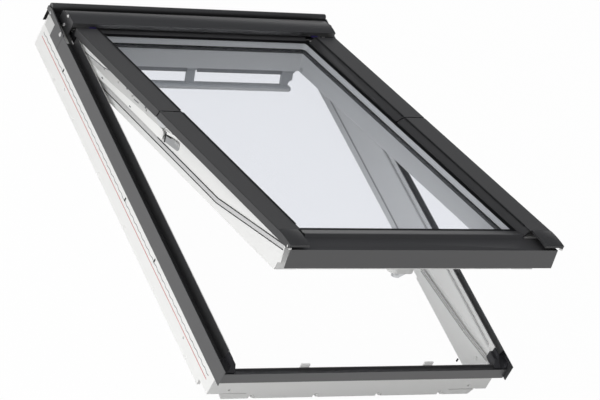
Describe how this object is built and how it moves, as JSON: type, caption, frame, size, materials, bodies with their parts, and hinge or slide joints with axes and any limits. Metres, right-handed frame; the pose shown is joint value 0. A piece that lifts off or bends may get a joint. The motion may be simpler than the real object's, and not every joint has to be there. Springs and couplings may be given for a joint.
{
  "type": "roof skylight",
  "caption": "Top-hung, centre-pivot roof window standing open, with a white frame and sash, dark metal cladding, a curved head hood and double glazing.",
  "frame": {"origin": "centre of the window's footprint, on the room-side face of the frame's lip", "axes": "+X across the slope to the right, +Y up the slope to the hood, +Z outward from the roof"},
  "size_m": [0.783, 1.18, 0.4823],
  "materials": {
    "white_shell": "smooth white polyurethane",
    "white_trim": "moulded white",
    "dark_cladding": "satin dark grey coating on sheet",
    "rubber_seal": "matt black",
    "steel_fitting": "zinc plated",
    "pale_aluminium": "satin anodised",
    "pane_glass": "clear"
  },
  "bodies": {
    "frame": {"frame_side_left": "white_shell", "frame_side_right": "white_shell", "frame_head": "white_shell", "frame_sill": "white_shell", "side_cladding_left": "dark_cladding", "side_cladding_right": "dark_cladding", "sill_cladding": "dark_cladding", "head_deck": "dark_cladding", "cladding_end_left": "dark_cladding", "cladding_end_right": "dark_cladding", "rear_strip": "dark_cladding", "hood": "dark_cladding", "hood_end_left": "dark_cladding", "hood_end_right": "dark_cladding", "corner_seal_left": "rubber_seal", "corner_seal_right": "rubber_seal", "hinge_bracket_left": "steel_fitting", "hinge_bracket_right": "steel_fitting", "sill_keepers": "white_trim", "cladding_rivets": "steel_fitting", "corner_plate_left": "steel_fitting", "corner_plate_right": "steel_fitting"},
    "hinge_arms": {"arm_left": "steel_fitting", "arm_right": "steel_fitting", "upper_cover_left": "dark_cladding", "upper_cover_right": "dark_cladding", "pivot_housing_left": "steel_fitting", "pivot_housing_right": "steel_fitting"},
    "sash": {"sash_side_left": "white_shell", "sash_side_right": "white_shell", "sash_head": "white_shell", "sash_sill": "white_shell", "outer_pane": "pane_glass", "inner_pane": "pane_glass", "pane_spacer": "pale_aluminium", "outer_seal": "rubber_seal", "inner_seal": "rubber_seal", "lower_cover_left": "dark_cladding", "lower_cover_right": "dark_cladding", "cover_tip_left": "dark_cladding", "cover_tip_right": "dark_cladding", "head_cover": "dark_cladding", "sill_cover": "dark_cladding", "side_gasket_left": "rubber_seal", "side_gasket_right": "rubber_seal", "pivot_plate_left": "steel_fitting", "pivot_plate_right": "steel_fitting", "handle_rosette": "white_trim"},
    "handle": {"handle_lever": "steel_fitting"},
    "control_bar": {"control_bar": "pale_aluminium"}
  },
  "joints": [
    {"name": "top_hinge", "type": "hinge", "parent": "frame", "child": "hinge_arms", "pos_m": [0, 0.49, 0.123], "axis": [-1, 0, 0], "range_deg": [-18.2, 21.8]},
    {"name": "sash_pivot", "type": "hinge", "parent": "hinge_arms", "child": "sash", "pos_m": [0, 0.06362, 0.28771], "axis": [-1, 0, 0], "range_deg": [0, 140]},
    {"name": "handle_turn", "type": "hinge", "parent": "sash", "child": "handle", "pos_m": [-0.008, -0.50154, 0.35532], "axis": [0, 0.3123, 0.95], "range_deg": [0, 90]},
    {"name": "control_bar_tilt", "type": "hinge", "parent": "sash", "child": "control_bar", "pos_m": [0, 0.46215, 0.0511], "axis": [1, 0, 0], "range_deg": [0, 30]}
  ]
}
